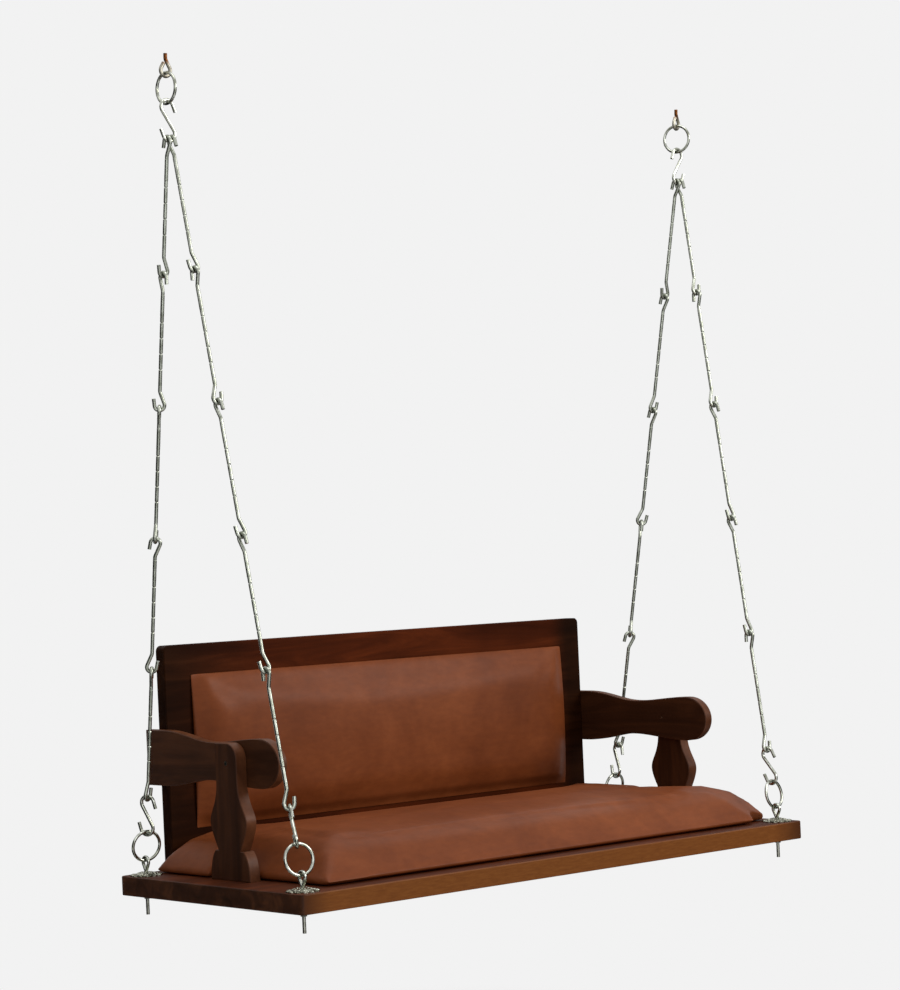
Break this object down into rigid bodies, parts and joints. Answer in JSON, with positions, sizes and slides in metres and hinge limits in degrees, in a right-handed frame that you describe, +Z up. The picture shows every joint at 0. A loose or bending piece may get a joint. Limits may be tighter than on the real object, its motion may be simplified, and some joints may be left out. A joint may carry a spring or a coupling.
{
  "type": "indoor swing seat",
  "caption": "Wooden jhoola swing seat with backrest, arms and tan leatherette cushions, hung from ceiling hooks by strands of hooked steel rods.",
  "frame": {"origin": "on the ceiling, midway between the two ceiling hooks' shanks", "axes": "+Z up out of the ceiling along the hooks' shanks, +X along the seat towards the right arm as seen from the front, +Y towards the backrest"},
  "size_m": [1.2542, 0.5269, 1.4454],
  "materials": {
    "dark_wood": "dark red-brown, polished",
    "dowel_wood": "plain",
    "tan_leatherette": "cognac, smooth, semi-gloss",
    "bright_steel": "bright nickel plate",
    "fastener_steel": "zinc plate",
    "ceiling_steel": "dull, browned steel"
  },
  "bodies": {
    "ceiling": {"ceiling_hook_left": "ceiling_steel", "ceiling_hook_right": "ceiling_steel"},
    "left_top_ring": {"top_ring_left": "bright_steel"},
    "right_top_ring": {"top_ring_right": "bright_steel"},
    "left_hanger": {"top_s_hook_left": "bright_steel", "rod_front_left_1": "bright_steel", "rod_front_left_2": "bright_steel", "rod_front_left_3": "bright_steel", "rod_front_left_4": "bright_steel", "rod_front_left_5": "bright_steel", "s_hook_front_left": "bright_steel", "ring_front_left": "bright_steel", "rod_rear_left_1": "bright_steel", "rod_rear_left_2": "bright_steel", "rod_rear_left_3": "bright_steel", "rod_rear_left_4": "bright_steel", "rod_rear_left_5": "bright_steel", "s_hook_rear_left": "bright_steel", "ring_rear_left": "bright_steel"},
    "right_hanger": {"top_s_hook_right": "bright_steel", "rod_front_right_1": "bright_steel", "rod_front_right_2": "bright_steel", "rod_front_right_3": "bright_steel", "rod_front_right_4": "bright_steel", "rod_front_right_5": "bright_steel", "s_hook_front_right": "bright_steel", "ring_front_right": "bright_steel", "rod_rear_right_1": "bright_steel", "rod_rear_right_2": "bright_steel", "rod_rear_right_3": "bright_steel", "rod_rear_right_4": "bright_steel", "rod_rear_right_5": "bright_steel", "s_hook_rear_right": "bright_steel", "ring_rear_right": "bright_steel"},
    "seat": {"seat_board": "dark_wood", "backrest_board": "dark_wood", "back_pad": "tan_leatherette", "seat_cushion": "tan_leatherette", "back_screws": "fastener_steel", "post_screws": "fastener_steel", "arm_screws": "fastener_steel", "rail_dowels": "dowel_wood", "washers": "fastener_steel", "nuts": "fastener_steel", "arm_rail_left": "dark_wood", "arm_rail_right": "dark_wood", "arm_post_left": "dark_wood", "arm_post_right": "dark_wood", "plate_front_left": "bright_steel", "plate_rear_left": "bright_steel", "plate_front_right": "bright_steel", "plate_rear_right": "bright_steel", "eyebolt_front_left": "bright_steel", "eyebolt_rear_left": "bright_steel", "eyebolt_front_right": "bright_steel", "eyebolt_rear_right": "bright_steel"}
  },
  "joints": [
    {"name": "swing", "type": "hinge", "parent": "ceiling", "child": "left_top_ring", "pos_m": [-0.61, 0, -0.0355], "axis": [1, 0, 0], "range_deg": [-25, 25]},
    {"name": "swing_right", "type": "hinge", "parent": "ceiling", "child": "right_top_ring", "pos_m": [0.61, 0, -0.0355], "axis": [1, 0, 0], "range_deg": [-25, 25]},
    {"name": "sway", "type": "hinge", "parent": "left_top_ring", "child": "left_hanger", "pos_m": [-0.61, -0.00219, -0.08025], "axis": [0, 0.9988, -0.0488], "range_deg": [-4, 4]},
    {"name": "sway_right", "type": "hinge", "parent": "right_top_ring", "child": "right_hanger", "pos_m": [0.61, -0.00219, -0.08025], "axis": [0, 0.9988, -0.0488], "range_deg": [-4, 4]},
    {"name": "seat_level", "type": "hinge", "parent": "left_hanger", "child": "seat", "pos_m": [-0.5695, -0.06353, -1.33455], "axis": [0, 0.9988, -0.0488], "range_deg": [-4.4, 4.4]}
  ],
  "couplings": [
    {"joint": "swing_right", "follows": "swing", "ratio": 1},
    {"joint": "sway_right", "follows": "sway", "ratio": 1},
    {"joint": "seat_level", "follows": "sway", "ratio": -1.0711}
  ]
}
